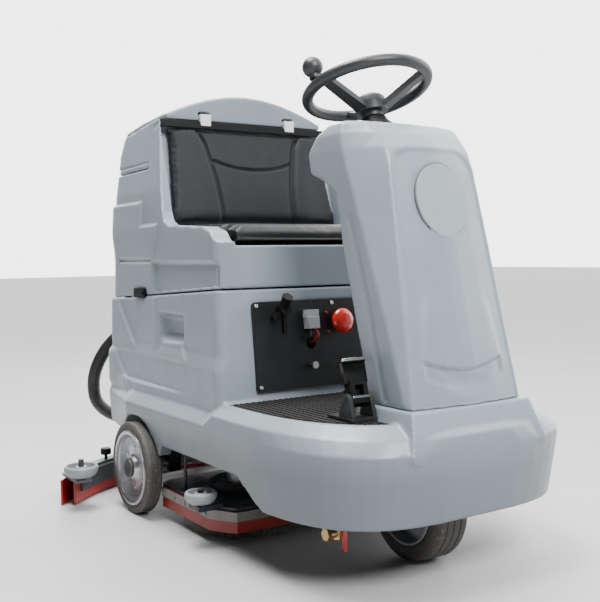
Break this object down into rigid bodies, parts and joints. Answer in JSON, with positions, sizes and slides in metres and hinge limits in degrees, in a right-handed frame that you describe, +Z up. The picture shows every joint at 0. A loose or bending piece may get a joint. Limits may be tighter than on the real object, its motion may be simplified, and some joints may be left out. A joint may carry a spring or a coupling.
{
  "type": "floor scrubber machine",
  "caption": "Ride-on floor scrubber-dryer with disc brushes in a skirted deck, a curved rear squeegee, a seat on a lidded recovery tank and a steering wheel on a tall front fairing",
  "frame": {"origin": "middle of the footprint on the floor the machine stands on", "axes": "+X forward, +Y to the driver's left, +Z up"},
  "size_m": [1.524, 1.1, 1.1882],
  "materials": {
    "shell": "satin blue-grey rotomoulded polyethylene with a very fine orange-peel grain",
    "badge": "satin, slightly lighter grey moulded disc, blank",
    "frame_black": "satin black powder coat",
    "mat_rubber": "ribbed black rubber, dusty and scuffed",
    "soft_black": "satin black moulded plastic",
    "panel_black": "fine-textured matte black sheet",
    "bright_steel": "zinc-plated and brushed",
    "connector_grey": "grey moulded connector housing",
    "wire_red": "red and black insulated leads",
    "battery": "ribbed black battery cases",
    "controller": "finned cast alloy",
    "filter_blue": "dark blue moulded filter bowl",
    "valve_brass": "dull nickel-plated brass",
    "hose": "black corrugated hose with a smooth outer skin",
    "seat": "black vinyl with a fine grain and a slight gloss",
    "seat_back": "charcoal vinyl, matte, with stitched seams",
    "motor_grey": "dark grey painted motor cans",
    "basket": "translucent white moulded basket",
    "hinge_white": "off-white moulded nylon",
    "wheel_black": "soft black moulded grip with a low sheen",
    "tyre": "dark rubber, brown with dust",
    "roller_grey": "glossy light grey moulded nylon",
    "deck_dark": "dark blue-black powder-coated plate",
    "skirt_red": "red polyurethane, worn and dusty",
    "strip": "stainless strip, worn",
    "brush": "grey brush block with pale bristles",
    "channel_grey": "dark grey painted cast channel",
    "blade_red": "red polyurethane blade",
    "stop_red": "glossy red mushroom head"
  },
  "bodies": {
    "body": {"lower_body": "shell", "chassis_frame": "frame_black", "floor_mat": "mat_rubber", "steering_fairing": "shell", "fairing_badge": "badge", "column_boot": "soft_black", "steering_column": "frame_black", "control_panel": "panel_black", "panel_screws": "bright_steel", "charge_socket": "connector_grey", "charge_leads": "wire_red", "batteries": "battery", "drive_controller": "controller", "rear_axle": "bright_steel", "water_filter": "filter_blue", "drain_valve": "valve_brass", "hose_port": "soft_black", "suction_hose": "hose", "lift_actuators": "controller", "pedal_bracket": "frame_black", "tank_hinge": "frame_black"},
    "tank": {"recovery_tank": "shell", "seat_cushion": "seat", "seat_back": "seat_back", "tank_clips": "soft_black", "vacuum_motor": "motor_grey", "float_basket": "basket", "hinge_blocks": "hinge_white"},
    "lid": {"tank_lid": "shell"},
    "steering_wheel": {"steering_wheel": "wheel_black", "hub_cap": "wheel_black"},
    "spinner_knob": {"spinner_knob": "wheel_black"},
    "drive_unit": {"drive_fork": "frame_black", "drive_motor": "motor_grey"},
    "drive_wheel": {"drive_tyre": "tyre", "drive_hub": "controller"},
    "rear_wheel_right": {"rear_tyre_right": "tyre", "rear_rim_right": "roller_grey"},
    "rear_wheel_left": {"rear_tyre_left": "tyre", "rear_rim_left": "roller_grey"},
    "deck": {"brush_deck": "deck_dark", "deck_skirt": "skirt_red", "skirt_strip": "strip", "brush_motors": "motor_grey"},
    "deck_roller_right": {"deck_roller_right": "roller_grey"},
    "deck_roller_left": {"deck_roller_left": "roller_grey"},
    "brush_right": {"brush_right": "brush"},
    "brush_left": {"brush_left": "brush"},
    "squeegee_arm": {"squeegee_arm": "frame_black"},
    "squeegee_yoke": {"squeegee_yoke": "bright_steel"},
    "squeegee": {"squeegee_frame": "channel_grey", "squeegee_blades": "blade_red", "squeegee_knobs": "soft_black"},
    "end_roller_right": {"end_roller_right": "roller_grey"},
    "end_roller_left": {"end_roller_left": "roller_grey"},
    "pedal": {"accelerator_pedal": "soft_black"},
    "emergency_stop": {"emergency_stop": "stop_red"},
    "water_lever": {"water_lever": "soft_black"},
    "breaker_button": {"breaker_button": "bright_steel"},
    "valve_handle": {"valve_handle": "stop_red"}
  },
  "joints": [
    {"name": "tank_tilt", "type": "hinge", "parent": "body", "child": "tank", "pos_m": [-0.5874, 0, 0.595], "axis": [0, -1, 0], "range_deg": [0, 50]},
    {"name": "lid_open", "type": "hinge", "parent": "tank", "child": "lid", "pos_m": [-0.2294, 0, 1.114], "axis": [0, 1, 0], "range_deg": [0, 75]},
    {"name": "drive_steer", "type": "hinge", "parent": "body", "child": "drive_unit", "pos_m": [0.5366, 0, 0.125], "axis": [0, 0, 1], "range_deg": [-85, 85]},
    {"name": "wheel_turn", "type": "hinge", "parent": "body", "child": "steering_wheel", "pos_m": [0.3576, 0, 1.118], "axis": [-0.3024, 0, 0.9532], "range_deg": [-255, 255]},
    {"name": "spinner_turn", "type": "hinge", "parent": "steering_wheel", "child": "spinner_knob", "pos_m": [0.34357, -0.14891, 1.14502], "axis": [-0.3024, 0, 0.9532], "continuous": true},
    {"name": "drive_roll", "type": "hinge", "parent": "drive_unit", "child": "drive_wheel", "pos_m": [0.5366, 0, 0.125], "axis": [0, 1, 0], "continuous": true},
    {"name": "rear_right_roll", "type": "hinge", "parent": "body", "child": "rear_wheel_right", "pos_m": [-0.2134, -0.384, 0.127], "axis": [0, 1, 0], "continuous": true},
    {"name": "rear_left_roll", "type": "hinge", "parent": "body", "child": "rear_wheel_left", "pos_m": [-0.2134, 0.384, 0.127], "axis": [0, 1, 0], "continuous": true},
    {"name": "deck_lift", "type": "slide", "parent": "body", "child": "deck", "axis": [0, 0, 1], "range_m": [0, 0.045]},
    {"name": "deck_roller_right_turn", "type": "hinge", "parent": "deck", "child": "deck_roller_right", "pos_m": [0.1586, -0.376, 0.11], "axis": [0, 0, 1], "continuous": true},
    {"name": "deck_roller_left_turn", "type": "hinge", "parent": "deck", "child": "deck_roller_left", "pos_m": [0.1586, 0.376, 0.11], "axis": [0, 0, 1], "continuous": true},
    {"name": "brush_right_spin", "type": "hinge", "parent": "deck", "child": "brush_right", "pos_m": [0.0306, -0.172, 0.045], "axis": [0, 0, 1], "continuous": true},
    {"name": "brush_left_spin", "type": "hinge", "parent": "deck", "child": "brush_left", "pos_m": [0.0306, 0.172, 0.045], "axis": [0, 0, 1], "continuous": true},
    {"name": "squeegee_lift", "type": "hinge", "parent": "body", "child": "squeegee_arm", "pos_m": [-0.4744, 0, 0.196], "axis": [0, 1, 0], "range_deg": [0, 30], "deforming": ["suction_hose"]},
    {"name": "squeegee_level", "type": "hinge", "parent": "squeegee_arm", "child": "squeegee_yoke", "pos_m": [-0.5494, 0, 0.13], "axis": [0, 1, 0], "range_deg": [-30, 0]},
    {"name": "squeegee_swing", "type": "hinge", "parent": "squeegee_yoke", "child": "squeegee", "pos_m": [-0.5494, 0, 0.1], "axis": [0, 0, 1], "range_deg": [-8, 8], "deforming": ["suction_hose"]},
    {"name": "end_roller_right_turn", "type": "hinge", "parent": "squeegee", "child": "end_roller_right", "pos_m": [-0.3354, -0.502, 0.11], "axis": [0, 0, 1], "continuous": true},
    {"name": "end_roller_left_turn", "type": "hinge", "parent": "squeegee", "child": "end_roller_left", "pos_m": [-0.3354, 0.502, 0.11], "axis": [0, 0, 1], "continuous": true},
    {"name": "pedal_press", "type": "hinge", "parent": "body", "child": "pedal", "pos_m": [0.5926, -0.216, 0.4033], "axis": [0, 1, 0], "range_deg": [0, 18], "stiffness_Nm_per_rad": 4, "springref_deg": -14.32},
    {"name": "stop_press", "type": "slide", "parent": "body", "child": "emergency_stop", "axis": [-0.9957, 0, -0.0926], "range_m": [0, 0.005]},
    {"name": "lever_turn", "type": "hinge", "parent": "body", "child": "water_lever", "pos_m": [0.2185, -0.172, 0.57913], "axis": [0.9957, 0, 0.0926], "range_deg": [0, 90]},
    {"name": "breaker_press", "type": "slide", "parent": "body", "child": "breaker_button", "axis": [-0.9957, 0, -0.0926], "range_m": [0, 0.003], "stiffness_N_per_m": 600, "springref_m": -0.002},
    {"name": "valve_turn", "type": "hinge", "parent": "body", "child": "valve_handle", "pos_m": [0.5206, -0.21, 0.098], "axis": [1, 0, 0], "range_deg": [0, 90]}
  ],
  "couplings": [
    {"joint": "wheel_turn", "follows": "drive_steer", "ratio": 3},
    {"joint": "squeegee_level", "follows": "squeegee_lift", "ratio": -1}
  ]
}
